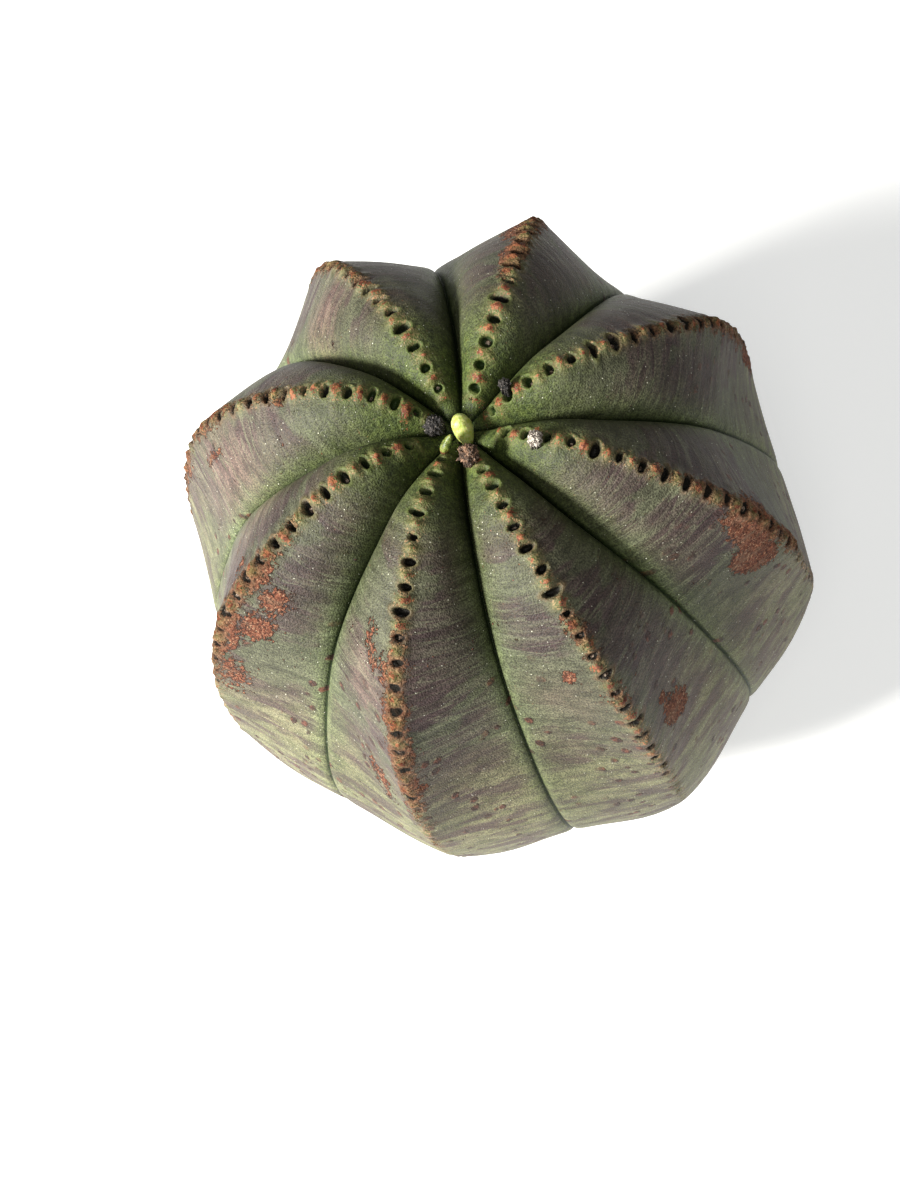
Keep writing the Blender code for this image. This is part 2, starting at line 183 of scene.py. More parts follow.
# The same for paler, rosy ones
ROSY = (
    (0, -6.6, 32.0, 5.5, 5.0, 1.0), (7, -7.0, 40.0, 6.0, 8.0, 0.8), (6, 9.0, 34.0, 4.0, 8.0, 0.6),
    (5, 5.5, 40.0, 3.0, 6.0, 0.6), (4, 7.0, 46.0, 5.0, 5.0, 0.4),
)


def smooth(value, low, high):
    """0 below low, 1 above high, and smooth between."""
    f = np.clip((value - low) / (high - low), 0.0, 1.0)
    return f * f * (3 - 2 * f)


def draw(*keys):
    """A repeatable number from 0 to 1 for these keys."""
    total = DRAW_START
    for key, weight in zip(keys, DRAW_WEIGHTS):
        total = total + np.asarray(key, dtype=float) * weight
    value = np.sin(total) * DRAW_SCALE
    return value - np.floor(value)


def between(low, high, *keys):
    """A repeatable number from low to high for these keys."""
    return low + (high - low) * draw(*keys)


def outline_at(outline, t):
    """Points of an outline at parameters t, on a smooth curve through its knots."""
    knots = np.array(outline)
    last = len(knots) - 1
    first = np.array([[-knots[1][0], knots[1][1]]])
    padded = np.vstack([first, knots, knots[-1:]])
    i = np.clip(np.floor(t).astype(int), 0, last - 1)
    f = (t - i)[:, None]
    before, start, end, after = (padded[i + n] for n in range(4))
    return (
        start * 2
        + (end - before) * f
        + (before * 2 - start * 5 + end * 4 - after) * f * f
        + (start * 3 - before - end * 3 + after) * f**3
    ) / 2


STEPS = np.linspace(0, len(CREST_OUTLINE) - 1, 901)
STEP_POINTS = outline_at(CREST_OUTLINE, STEPS)
LENGTHS = np.concatenate([[0.0], np.cumsum(np.linalg.norm(np.diff(STEP_POINTS, axis=0), axis=1))])
CREST_END = LENGTHS[-1]


def parameter_at(along):
    """Outline parameters at distances along the crest, in mm."""
    return np.interp(along, LENGTHS, STEPS)


def half_width(radius):
    """Half a rib's width, in mm, at a distance from the axis."""
    return np.maximum(radius * math.pi / RIB_COUNT, 0.4)


def rounded(across, reach, along):
    """Shares of the flank's width, eased beside the older crest so that it isn't a sharp edge."""
    ease = CREST_ROUND * smooth(along, 20.0, 40.0) / reach
    return (np.hypot(across, ease) - ease) / (np.hypot(1.0, ease) - ease)


def flank_share(across, along):
    """How much of the crest's stand-out is left at a share of the way from the crest to the furrow."""
    young = 1 - across**LOBE
    keeled = (1 - across) ** KEEL
    wave = (1 + np.cos(math.pi * across)) / 2
    old = keeled + (wave - keeled) * smooth(along, KEEL_ENDS, SMOOTH_FROM)
    return young + (old - young) * smooth(along, LOBE_ENDS, KEEL_STARTS)


def noise_at(points, size, shift=0.0):
    """Smooth noise from -1 to 1 at points in mm, with lumps of this size."""
    return np.array([noise.noise(Vector(point) / size + Vector((shift, 0, 0))) for point in points])


def zip_forms(rib, offset, along, uneven):
    """Shares of pit, rim, tooth, dried scar and scab beside the crest, and how grown the zip is there. The
    offset is in mm, signed, and the uneven noise, from -1 to 1, breaks up the outlines."""
    turn = (along - FIRST_PIT - RIBS[rib, 3]) / PIT_PITCH
    number, beside = np.rint(turn), np.floor(turn)
    from_pit = (turn - number) * PIT_PITCH
    from_tooth = PIT_PITCH / 2 - np.abs(from_pit)
    inside = smooth(turn, -0.7, -0.3) * (1 - smooth(turn, PITS_PER_RIB - 0.7, PITS_PER_RIB - 0.3))
    worn = 1 - WORN_AWAY * smooth(along, FADE_FROM, FADE_TO)
    grown = NEWEST_SIZE + (1 - NEWEST_SIZE) * smooth(along, FIRST_PIT - PIT_PITCH, FIRST_PIT + 2 * PIT_PITCH)
    young = 1 - smooth(along, 10.0, 24.0)
    aged = smooth(along, 48.0, 70.0)

    size = between(0.72, 1.14, rib, number, SIZE) * (0.8 + 0.2 * grown) * (1 - 0.25 * aged)
    length = (PIT_LENGTH + 0.10 * young) * size * between(0.78, 1.23, rib, number, LENGTH)
    width = (PIT_WIDTH - 0.15 * young - 0.50 * aged) * size * between(0.75, 1.15, rib, number, WIDTH)
    centre = between(-0.5, 0.5, rib, number, CENTRE) * (0.3 + 0.7 * aged)
    away = np.hypot(from_pit / length, (offset - centre) / width) * (1 + uneven * (0.18 + 0.25 * aged))
    pit = (1 - smooth(away, 0.5, 1.08)) * inside * worn
    rim = np.exp(-(((away - RIM_AT) / RIM_SPREAD) ** 2)) * inside * worn
    scabbed = draw(rib, number, SCAB) > SCAB_RARITY
    scab = np.where(scabbed, np.exp(-((away / SCAB_SIZE) ** 2)), 0.0) * inside

    lean = between(-0.25, 0.25, rib, beside, LEAN)
    spot = (from_tooth / TOOTH_LENGTH) ** 2 + ((offset - lean) / TOOTH_WIDTH) ** 2
    tooth = np.exp(-spot) * inside * worn
    aside = offset - lean - between(-0.55, 0.55, rib, beside, SLIP)
    aside = aside / between(0.6, 1.1, rib, beside, SCAR_WIDTH)
    spot = (from_tooth / SCAR_LENGTH + 0.5 * uneven) ** 2 + aside**2
    scar_size = between(0.45, 1.25, rib, beside, SCAR_SIZE)
    scar = np.exp(-spot / scar_size**2) * inside * (0.4 + 0.6 * worn)
    return pit, rim, tooth, scar, scab, grown


def hidden_patches():
    """Seeded patches on the lower part of every rib, which the photograph hides."""
    for rib in range(RIB_COUNT):
        for number in range(HIDDEN_PATCHES):
            a, b, c = (float(draw(rib, number, key)) for key in PATCH_KEYS)
            place = (22.0 * (a - 0.5), 82.0 + 34.0 * b)
            size = (1.2 + 1.8 * c, 1.6 + 2.0 * a)
            yield rib, *place, *size, 90.0 * b, 0.6 + 0.35 * c


def blush_weight(spots, rib, offset, along):
    """How strongly these blushes colour a place, from 0 to 1."""
    weight = np.zeros(len(along))
    for blush_rib, aside, down, half_across, half_along, strength in spots:
        u, v = (offset - aside) / half_across, (along - down) / half_along
        weight = np.maximum(weight, strength * np.exp(-((u * u + v * v) ** 1.2)) * (rib == blush_rib))
    return weight


def patch_weight(rib, offset, along):
    """How strongly the cork patches cover a place, from 0 to about 1."""
    weight = np.zeros(len(along))
    for patch_rib, aside, down, half_across, half_along, turn, strength in (*PATCHES, *hidden_patches()):
        x, y = offset - aside, along - down
        c, s = math.cos(math.radians(turn)), math.sin(math.radians(turn))
        u, v = (c * x + s * y) / half_across, (c * y - s * x) / half_along
        here = strength * np.exp(-(u * u + v * v) ** 1.5) * (rib == patch_rib)
        weight = np.maximum(weight, here)
    return weight


def crust_weight(rib, offset, along):
    """How much cork crust grows along the older zip."""
    strength, reach = CRUSTS[rib, 0], CRUSTS[rib, 1]
    width = 1.1 + 1.0 * smooth(along, 26.0, 50.0)
    left = 1 - 0.85 * smooth(along, reach - 10.0, reach + 8.0)
    return strength * np.exp(-((offset / width) ** 2)) * smooth(along, 14.0, 40.0) * left


def compass(rib, outward, height):
    """The crest's angle round the axis, in radians; rib may run one past either end."""
    angle = RIBS[rib % RIB_COUNT, 0] - 360.0 * np.floor_divide(rib, RIB_COUNT)
    down = np.arctan2(outward, height - LEAN_HEIGHT)
    return np.radians(angle + RIBS[rib % RIB_COUNT, 1] * (np.minimum(down, LEAN_ENDS) - LEAN_FROM))


def bare_flank(rib, side, across, along):
    """Distances from the axis and heights of the smooth flank, in mm."""
    t = parameter_at(along)
    crest, furrow = outline_at(CREST_OUTLINE, t), outline_at(FURROW_OUTLINE, t)
    eased = rounded(across, half_width(crest[:, 0]), along)
    place = furrow + (crest - furrow) * flank_share(eased, along)[:, None]
    out, next_out = RIBS[rib, 2], RIBS[(rib + side) % RIB_COUNT, 2]
    upright = np.sin(math.pi * np.minimum(along / CREST_END, 1.0)) ** 2
    place[:, 0] *= 1 + (out + (next_out - out) * across / 2) * upright
    return place


def outward_at(along):
    """Unit vectors that point out of the crest's outline."""
    t = parameter_at(along)
    ahead = outline_at(CREST_OUTLINE, np.minimum(t + NEARBY, len(CREST_OUTLINE) - 1))
    slope = ahead - outline_at(CREST_OUTLINE, np.maximum(t - NEARBY, 0.0))
    outward = np.stack([-slope[:, 1], slope[:, 0]], axis=1)
    return outward / np.linalg.norm(outward, axis=1)[:, None]


def crease(from_furrow, radius, along):
    """How far the skin is drawn in beside the furrow, in mm."""
    aged = smooth(along, NOTCH_YOUNG_TO, NOTCH_OLD_FROM)
    notch = FURROW_NOTCH_YOUNG + (FURROW_NOTCH - FURROW_NOTCH_YOUNG) * aged
    notch *= smooth(radius, 1.0, 9.0)
    notch *= 1 - smooth(along, CREST_END - NOTCH_FADES, CREST_END - NOTCH_GONE)
    return notch * np.exp(-from_furrow / FURROW_PINCH)


def skin_relief(rib, offset, along, from_furrow):
    """How far the skin's forms stand out, in mm, and the shares that the material reads."""
    flat = np.stack([offset, along, rib * RIB_SHIFT], axis=1)
    rough, lumps = noise_at(flat, 0.8, 3.0), noise_at(flat, 1.9, 9.0)
    pit, rim, tooth, scar, scab, grown = zip_forms(rib, offset, along, noise_at(flat, 1.1, 23.0))
    relief = tooth * TOOTH_HEIGHT + scar * SCAR_HEIGHT + rim * RIM_HEIGHT
    relief += pit * (scab * SCAB_HEIGHT - PIT_DEPTH)
    relief *= (0.45 + 0.55 * grown) * (1 - SHALLOWER * smooth(along, SHALLOW_FROM, SHALLOW_TO))

    crust, patch = crust_weight(rib, offset, along), patch_weight(rib, offset, along)
    crumbs = np.exp(-((offset / CRUMB_WIDTH) ** 2)) * smooth(along, 3.0, 9.0)
    crumbs *= 1 - 0.4 * smooth(along, 60.0, 90.0)
    relief += (0.9 * crust + 0.7 * scar + 0.45 * crumbs) * (0.26 * rough + 0.14 * lumps) * (1 - pit)
    relief += np.clip(patch * 1.4, 0, 1) * (0.16 + 0.14 * rough + 0.10 * lumps)
    wrinkle = noise_at(np.stack([offset * 0.16, along, rib * 9.0], axis=1), 2.3, 17.0)
    relief += WRINKLE_HEIGHT * wrinkle * smooth(along, 12.0, 40.0)

    purple, pink = (blush_weight(spots, rib, offset, along) for spots in (BLUSHES, ROSY))
    shares = {
        "forms": (pit, tooth, scar),
        "cover": (crust, patch, np.exp(-from_furrow / 2.2)),
        "extra": (rim, scab * pit, from_furrow),
        "tint": (purple, pink, crumbs),
    }
    return relief, shares


def stem_surface(rib, side, across, along):
    """Points of the stem, their offsets from the crest, in mm, and the shares that its material reads."""
    place = bare_flank(rib, side, across, along)
    reach = half_width(place[:, 0])
    offset, from_furrow = side * across * reach, (1 - across) * reach
    relief, shares = skin_relief(rib, offset, along, from_furrow)
    outward = outward_at(along)
    place += outward * (relief - crease(from_furrow, place[:, 0], along))[:, None]

    here = compass(rib, place[:, 0], place[:, 1])
    there = compass(rib + side, place[:, 0], place[:, 1])
    angle = here + (there - here) * across / 2
    c, s = np.cos(angle), np.sin(angle)
    points = np.stack([place[:, 0] * c, place[:, 0] * s, place[:, 1]], axis=1)
    lift = SWELL * noise_at(points, SWELL_SIZE)
    lift *= smooth(place[:, 0], 4.0, 20.0) * smooth(place[:, 1], 1.0, 8.0)
    points += np.stack([outward[:, 0] * c, outward[:, 0] * s, outward[:, 1]], axis=1) * lift[:, None]
    points[:, 2] = np.maximum(points[:, 2], 0.0)
    return points, offset, shares


def column_shares(along):
    """Where the columns of one flank are at each row: close at the zip, and at the furrow."""
    radius = outline_at(CREST_OUTLINE, parameter_at(along))[:, 0]
    reach = half_width(radius)[:, None]
    number = np.arange(ZIP_COLUMNS + 1)[None, :]
    beside = np.minimum(number * ZIP_STEP / reach, 0.5 * number / ZIP_COLUMNS)
    f = np.arange(1, FLANK_COLUMNS + 1)[None, :] / FLANK_COLUMNS
    eased = 1 - (1 - f) ** FLANK_EASE
    return np.hstack([beside, beside[:, -1:] + (1 - beside[:, -1:]) * eased])


class StemGrid:
    """Vertices and faces of the stem. Rows are counted down the crest, and columns across one rib."""

    def __init__(self):
        rows = int((FINE_TO - FINE_FROM) / FINE_STEP / FINE_PER_ROW)
        self.fine_end = rows * FINE_PER_ROW
        fine_length = self.fine_end * FINE_STEP
        old_rows = int(round((CREST_END - FINE_FROM - fine_length) / OLD_STEP))
        self.along = {row: FINE_FROM + row * FINE_STEP for row in range(self.fine_end + 1)}
        start = self.along[self.fine_end]
        for n in range(1, old_rows + 1):
            self.along[self.fine_end + n] = start + (CREST_END - start) * n / old_rows
        self.last = self.fine_end + old_rows
        self.half = ZIP_COLUMNS + FLANK_COLUMNS
        self.index = {}
        self.keys = []

    def vertex(self, row, rib, column):
        """The number of a vertex; column runs from minus half to half, and a furrow is shared."""
        if column == -self.half:
            rib, column = (rib - 1) % RIB_COUNT, self.half
        key = (row, rib % RIB_COUNT, column)
        if key not in self.index:
            self.index[key] = len(self.keys)
            self.keys.append(key)
        return self.index[key]

    def fine_strip(self, row, rib):
        """Faces of one coarse row of one rib, where the zip has several fine rows."""
        low = row + FINE_PER_ROW
        for column in range(-self.half, self.half):
            if -ZIP_COLUMNS <= column < ZIP_COLUMNS:
                for r in range(row, low):
                    yield self.quad(r, r + 1, rib, column)
            elif column == ZIP_COLUMNS:
                near = [self.vertex(r, rib, column) for r in range(row, low + 1)]
                yield near + [self.vertex(low, rib, column + 1), self.vertex(row, rib, column + 1)]
            elif column == -ZIP_COLUMNS - 1:
                near = [self.vertex(r, rib, column + 1) for r in range(low, row - 1, -1)]
                yield near + [self.vertex(row, rib, column), self.vertex(low, rib, column)]
            else:
                yield self.quad(row, low, rib, column)

    def quad(self, top, low, rib, column):
        """One face between two rows."""
        corners = ((top, column), (low, column), (low, column + 1), (top, column + 1))
        return [self.vertex(row, rib, c) for row, c in corners]

    def faces(self):
        """All faces, with the rib that each belongs to."""
        for rib in range(RIB_COUNT):
            for row in range(0, self.fine_end, FINE_PER_ROW):
                for face in self.fine_strip(row, rib):
                    yield face, rib
            for row in range(self.fine_end, self.last):
                for column in range(-self.half, self.half):
                    yield self.quad(row, row + 1, rib, column), rib

    def ring(self, row):
        """The vertices of one row, round the stem."""
        loop = []
        for rib in reversed(range(RIB_COUNT)):
            loop += [self.vertex(row, rib, column) for column in range(self.half, -self.half, -1)]
        return loop


def link(name, data):
    """An object with this mesh, shaded smooth, in the scene."""
    data.shade_smooth()
    piece = bpy.data.objects.new(name, data)
    bpy.context.scene.collection.objects.link(piece)
    return piece


def to_object(name, mesh):
    """An object from a finished bmesh."""
    bmesh.ops.recalc_face_normals(mesh, faces=mesh.faces[:])
    data = bpy.data.meshes.new(name)
    mesh.to_mesh(data)
    mesh.free()
    return link(name, data)


def close_crown(vertices, faces, top):
    """A fan from the first row to the tip."""
    tip = len(vertices)
    vertices.append((0.0, 0.0, CREST_OUTLINE[0][1] * MM))
    faces += [[top[i], top[(i + 1) % len(top)], tip] for i in range(len(top))]


def close_recess(vertices, faces, rim, points):
    """The recess for the root, from the last row to its wall and its flat top."""
    wall = len(vertices)
    for number in rim:
        direction = Vector((points[number][0], points[number][1], 0.0)).normalized()
        vertices.append(tuple((direction * RECESS_RADIUS + Vector((0, 0, RECESS_TOP))) * MM))
    roof = len(vertices)
    vertices.append((0.0, 0.0, RECESS_TOP * MM))
    for i in range(len(rim)):
        j = (i + 1) % len(rim)
        faces.append([rim[j], rim[i], wall + i, wall + j])
        faces.append([wall + j, wall + i, roof])


def store(data, name, kind, values):
    """A vector attribute of the mesh; elements past the values keep zeros."""
    layer = data.attributes.new(name, "FLOAT_VECTOR", kind)
    filled = np.zeros((len(layer.data), 3), dtype=np.float32)
    filled[: len(values)] = values
    layer.data.foreach_set("vector", filled.ravel())


def corner_places(data, grid, listed, points, offsets, along):
    """For each face corner: mm from the crest and along it, and the rib. A furrow is shared by two ribs."""
    flat = np.zeros((len(data.loops), 3), dtype=np.float32)
    widest = half_width(np.hypot(points[:, 0], points[:, 1]))
    for polygon, (_, rib) in zip(data.polygons, listed):
        for loop in polygon.loop_indices:
            vertex = data.loops[loop].vertex_index
            _, owner, column = grid.keys[vertex]
            offset = offsets[vertex]
            if abs(column) == grid.half:
                offset = widest[vertex] if owner == rib else -widest[vertex]
            flat[loop] = (offset, along[vertex], rib * RIB_SHIFT)
    return flat


def build_stem():
    """The stem as an object, with its attributes."""
    grid = StemGrid()
    listed = list(grid.faces())
    keys = np.array(grid.keys)
    along = np.array([grid.along[row] for row in keys[:, 0]])
    side = np.where(keys[:, 2] < 0, -1, 1)
    across = column_shares(along)[np.arange(len(keys)), np.abs(keys[:, 2])]
    points, offsets, shares = stem_surface(keys[:, 1], side, across, along)

    vertices = [tuple(point) for point in points * MM]
    faces = [face for face, _ in listed]
    close_crown(vertices, faces, grid.ring(0))
    close_recess(vertices, faces, grid.ring(grid.last), points)
    data = bpy.data.meshes.new("stem_skin")
    data.from_pydata(vertices, [], faces)
    data.validate()
    for name, values in shares.items():
        store(data, name, "POINT", np.stack(values, axis=1))
    store(data, "place", "CORNER", corner_places(data, grid, listed, points, offsets, along))

    mesh = bmesh.new()
    mesh.from_mesh(data)
    bmesh.ops.recalc_face_normals(mesh, faces=mesh.faces[:])
    bmesh.ops.triangulate(mesh, faces=[face for face in mesh.faces if len(face.verts) > 4])
    mesh.to_mesh(data)
    mesh.free()
    return link("stem_skin", data)


# Numbers of the sockets for colours on a mix node
FIRST_COLOUR, SECOND_COLOUR, BLENDED_COLOUR = 6, 7, 2


class Graph:
    """A material's node graph, built by short calls that return sockets."""

    def __init__(self, name):
        self.material = bpy.data.materials.new(name)
        self.material.use_nodes = True
        self.tree = self.material.node_tree
        self.shader = self.tree.nodes["Principled BSDF"]

    def node(self, kind, settings=None, **inputs):
        """A node with these settings and inputs."""
        node = self.tree.nodes.new(kind)
        for name, value in (settings or {}).items():
            setattr(node, name, value)
        for name, value in inputs.items():
            self.feed(node.inputs[name], value)
        return node

    def feed(self, socket, value):
        """Links a socket to an input, or sets the input to a value."""
        if isinstance(value, bpy.types.NodeSocket):
            self.tree.links.new(value, socket)
        elif isinstance(value, tuple) and len(value) == 3 and socket.type == "RGBA":
            socket.default_value = (*value, 1.0)
        else:
            socket.default_value = value

    def feed_all(self, node, values):
        """Feeds a node's first inputs, in order, and gives its first output."""
        for socket, value in zip(node.inputs, values):
            self.feed(socket, value)
        return node.outputs[0]

    def math(self, operation, first, second):
        """The result of a maths node."""
        return self.feed_all(self.node("ShaderNodeMath", {"operation": operation}), (first, second))

    def times(self, first, second):
        """The product of two values."""
        return self.math("MULTIPLY", first, second)

    def plus(self, first, second):
        """The sum of two values."""
        return self.math("ADD", first, second)

    def larger(self, first, second):
        """The larger of two values."""
        return self.math("MAXIMUM", first, second)

    def swing(self, value, reach):
        """A noise moved to swing about zero, times a reach."""
        return self.times(self.plus(value, -0.5), reach)

    def band(self, value, low, high, bottom=0.0, top=1.0):
        """Maps low..high smoothly onto bottom..top."""
        node = self.node("ShaderNodeMapRange", {"interpolation_type": "SMOOTHSTEP"})
        return self.feed_all(node, (value, low, high, bottom, top))

    def mix(self, share, first, second):
        """A blend of two colours, by a share of the second."""
        node = self.node("ShaderNodeMix", {"data_type": "RGBA"})
        self.feed(node.inputs["Factor"], share)
        self.feed(node.inputs[FIRST_COLOUR], first)
        self.feed(node.inputs[SECOND_COLOUR], second)
        return node.outputs[BLENDED_COLOUR]

    def tones(self, value, low, high, first, second):
        """The first colour where the value is below low, the second above high, and blends between."""
        return self.mix(self.band(value, low, high), first, second)

    def parts(self, vector):
        """The three values of a vector."""
        return tuple(self.node("ShaderNodeSeparateXYZ", Vector=vector).outputs)

    def attribute(self, name):
        """A vector attribute of the mesh, and its three values."""
        vector = self.node("ShaderNodeAttribute", {"attribute_name": name}).outputs["Vector"]
        return vector, *self.parts(vector)

    def scaled(self, vector, by, shift=(0.0, 0.0, 0.0)):
        """A vector times another, shifted."""
        node = self.node("ShaderNodeVectorMath", {"operation": "MULTIPLY_ADD"})
        return self.feed_all(node, (vector, by, shift))

    def noise(self, vector, scale, detail=3.0, roughness=0.5, distortion=0.0):
        """Smooth noise, near 0.5 on the whole."""
        inputs = {"Scale": scale, "Detail": detail, "Roughness": roughness, "Distortion": distortion}
        return self.node("ShaderNodeTexNoise", Vector=vector, **inputs).outputs[0]

    def cells(self, vector, scale):
        """Distance to the nearest point, and that point's colour."""
        node = self.node("ShaderNodeTexVoronoi", Vector=vector, Scale=scale)
        return node.outputs["Distance"], node.outputs["Color"]

    def objects(self):
        """Object coordinates in mm."""
        return self.scaled(self.node("ShaderNodeTexCoord").outputs["Object"], (1 / MM, 1 / MM, 1 / MM))

    def bump(self, height, distance_mm, normal=None):
        """A normal tilted by relief of this depth."""
        node = self.node("ShaderNodeBump", Height=height, Distance=distance_mm * MM, Strength=1.0)
        if normal is not None:
            self.feed(node.inputs["Normal"], normal)
        return node.outputs[0]

    def finish(self, colour, roughness, normal):
        """Joins the three to the shader, and gives the material."""
        for name, value in (("Base Color", colour), ("Roughness", roughness), ("Normal", normal)):
            self.feed(self.shader.inputs[name], value)
        return self.material


class SkinGraph(Graph):
    """The stem's skin: what its mesh tells, and the noises that several layers share."""

    def __init__(self):
        super().__init__("plant_skin")
        self.place, _, self.along, _ = self.attribute("place")
        _, self.pit, self.tooth, self.scar = self.attribute("forms")
        _, self.crust, self.patch, self.near_furrow = self.attribute("cover")
        _, self.rim, self.scab, self.from_furrow = self.attribute("extra")
        _, self.blush, self.rosy, self.crumbs = self.attribute("tint")
        self.solid = self.objects()
        self.grain = self.noise(self.solid, 4.6, 1.0, 0.5)
        self.fine = self.noise(self.solid, 1.1, 4.0, 0.6)
        self.flake = self.noise(self.solid, 2.6, 4.0, 0.7)
        self.chips = self.noise(self.solid, 1.0, 3.0, 0.6)
        self.crumb = self.noise(self.solid, 3.4, 2.0, 0.6, 0.4)
        self.mottle = self.skin_noise(0.30, 0.55, (5.0, 0.0), 4.0, 0.65)
        self.slow = self.skin_noise(0.05, 0.085, (0.0, 0.0), 3.0, 0.55)
        self.lines = self.skin_noise(0.075, 0.60, (0.0, 0.0), 2.0, 0.5, 0.40)

    def skin_noise(self, across, along, shift, detail, roughness=0.5, distortion=0.0):
        """Noise with so many lumps in a mm across a rib and along it."""
        at = self.scaled(self.place, (across, along, 1.0), (*shift, 0.0))
        return self.noise(at, 1.0, detail, roughness, distortion)


# In the layers below, each band of g.along is in mm along the crest from the middle of the crown


def ground_colour(g):
    """Grey-green skin, blushed purple and rosy."""
    grey_green = g.tones(g.mottle, 0.3, 0.7, (0.038, 0.039, 0.024), (0.080, 0.082, 0.051))
    purple = g.tones(g.mottle, 0.3, 0.7, (0.024, 0.014, 0.015), (0.050, 0.032, 0.033))
    pink = g.tones(g.mottle, 0.3, 0.7, (0.078, 0.044, 0.038), (0.150, 0.100, 0.082))
    uneven = g.plus(g.swing(g.mottle, 1.1), g.swing(g.lines, 0.5))
    share = g.larger(g.times(g.blush, 1.25), g.band(g.slow, 0.42, 0.58, 0.0, 0.9))
    share = g.band(g.plus(share, uneven), 0.26, 0.60)
    share = g.times(share, g.band(g.along, 12.0, 24.0))
    share = g.times(share, g.band(g.near_furrow, 0.75, 0.25, 0.15, 1.0))
    skin = g.mix(g.times(share, 0.96), grey_green, purple)
    return g.mix(g.times(g.rosy, g.band(uneven, -0.25, 0.15, 0.4, 1.0)), skin, pink)


def growth_lines(g, skin):
    """Pale lines, and finer pale and dark threads, that run from the crest to the furrow."""
    pale = g.tones(g.along, 40.0, 80.0, (0.150, 0.164, 0.100), (0.215, 0.220, 0.120))
    thin = g.band(g.math("ABSOLUTE", g.plus(g.lines, -0.5), 0.0), 0.034, 0.006)
    bend = g.skin_noise(0.16, 0.10, (9.0, 0.0), 2.0)
    share = g.larger(g.band(g.lines, 0.50, 0.70, 0.0, 0.62), g.times(thin, 0.80))
    share = g.times(share, g.band(bend, 0.36, 0.56, 0.25, 1.0))
    share = g.times(share, g.band(g.near_furrow, 0.0, 0.7, 0.55, 1.0))
    share = g.times(share, g.band(g.along, 14.0, 34.0, 0.15, 0.80))
    skin = g.mix(share, skin, pale)
    threads = g.skin_noise(0.14, 1.5, (0.0, 3.0), 1.0, 0.5, 0.3)
    share = g.times(g.band(threads, 0.52, 0.66), g.band(g.along, 12.0, 34.0, 0.04, 0.10))
    skin = g.mix(share, skin, pale)
    share = g.times(g.band(threads, 0.47, 0.34), g.band(g.along, 14.0, 34.0, 0.0, 0.16))
    return g.mix(share, skin, (0.024, 0.017, 0.016))


def older_skin(g, skin):
    """Yellow-green with brown-purple bands on the lower half, and corky brown at the very foot."""
    bands = g.skin_noise(0.12, 0.42, (2.0, 7.0), 4.0, 0.60, 0.35)
    pale = g.tones(g.mottle, 0.3, 0.7, (0.094, 0.098, 0.046), (0.190, 0.184, 0.098))
    banded = g.mix(g.band(bands, 0.42, 0.60, 0.0, 0.9), pale, (0.060, 0.037, 0.035))
    skin = g.mix(g.times(g.band(g.along, 46.0, 72.0), 0.85), skin, banded)
    share = g.times(g.band(g.along, 92.0, 124.0), g.band(bands, 0.30, 0.60, 0.8, 0.35))
    return g.mix(share, skin, (0.150, 0.112, 0.070))


def fresh_green(g, skin):
    """Green at the crown and beside the furrows, and a near-black seam in each furrow, where a dark green
    line is darkened further as painted shade of the crease.
    """
    young = g.tones(g.fine, 0.35, 0.65, (0.018, 0.035, 0.004), (0.062, 0.090, 0.015))
    halo = g.tones(g.fine, 0.35, 0.65, (0.046, 0.074, 0.022), (0.108, 0.150, 0.052))
    green = g.mix(g.band(g.along, 14.0, 46.0), young, halo)
    beside = g.times(g.near_furrow, g.band(g.along, 90.0, 30.0, 0.40, 0.75))
    share = g.larger(g.band(g.along, 26.0, 7.0), beside)
    skin = g.mix(g.times(share, 0.80), skin, green)
    # Painted shade: a narrow strip along each furrow is darkened to near black for the shade in the crease,
    # over a dark green line.
    seam_and_crease_shade = g.band(g.from_furrow, 0.42, 0.08)
    return g.mix(g.times(seam_and_crease_shade, 0.94), skin, (0.008, 0.018, 0.003))


def grain_and_specks(g, skin):
    """Dark pores, pale specks that are partly fine scurf and partly painted glints, and a grain that
    lightens and darkens the skin.
    """
    pores_gap, pores_kind = g.cells(g.solid, 2.4)
    pores = g.times(g.band(pores_gap, 0.30, 0.12), g.band(pores_kind, 0.4, 0.7, 0.0, 0.5))
    skin = g.mix(pores, skin, (0.016, 0.015, 0.010))
    # Pale specks: partly fine whitish scurf, partly painted glints that stand in for sparkly highlights on
    # the skin.
    scurf_glint_gap, scurf_glint_kind = g.cells(g.solid, 1.7)
    scurf_and_glint_specks = g.times(g.band(scurf_glint_gap, 0.15, 0.06), g.band(scurf_glint_kind, 0.66, 0.72))
    skin = g.mix(g.times(scurf_and_glint_specks, 0.8), skin, (0.62, 0.62, 0.52))
    brushed = g.skin_noise(2.4, 3.6, (0.0, 11.0), 2.0, 0.6)
    tone = g.times(g.band(g.grain, 0.30, 0.70, 0.58, 1.52), g.band(brushed, 0.30, 0.70, 0.84, 1.16))
    tone = g.times(tone, g.band(g.slow, 0.36, 0.64, 0.82, 1.14))
    return g.scaled(skin, tone)


def dot_share(g):
    """Where the red-brown dots are, in loose fields."""
    gap, kind = g.cells(g.scaled(g.place, (1.0, 0.9, 1.0)), 0.52)
    edge = g.plus(gap, g.swing(g.fine, 0.6))
    field = g.skin_noise(0.10, 0.07, (31.0, 4.0), 2.0)
    dots = g.times(g.band(edge, 0.36, 0.22), g.band(kind, 0.40, 0.44))
    return g.times(dots, g.times(g.band(field, 0.46, 0.54), g.band(g.along, 32.0, 46.0)))


def cork_share(g):
    """Where cork covers the skin, as crust along the zip and as patches."""
    edge = g.plus(g.swing(g.chips, 1.4), g.swing(g.flake, 1.1))
    spread = g.skin_noise(0.0, 0.16, (3.0, 0.0), 1.0)
    crust = g.band(g.plus(g.plus(g.crust, edge), g.swing(spread, 1.2)), 0.42, 0.60)
    patch = g.band(g.plus(g.patch, g.times(edge, 0.75)), 0.30, 0.42)
    return g.larger(g.times(crust, 0.85), patch)


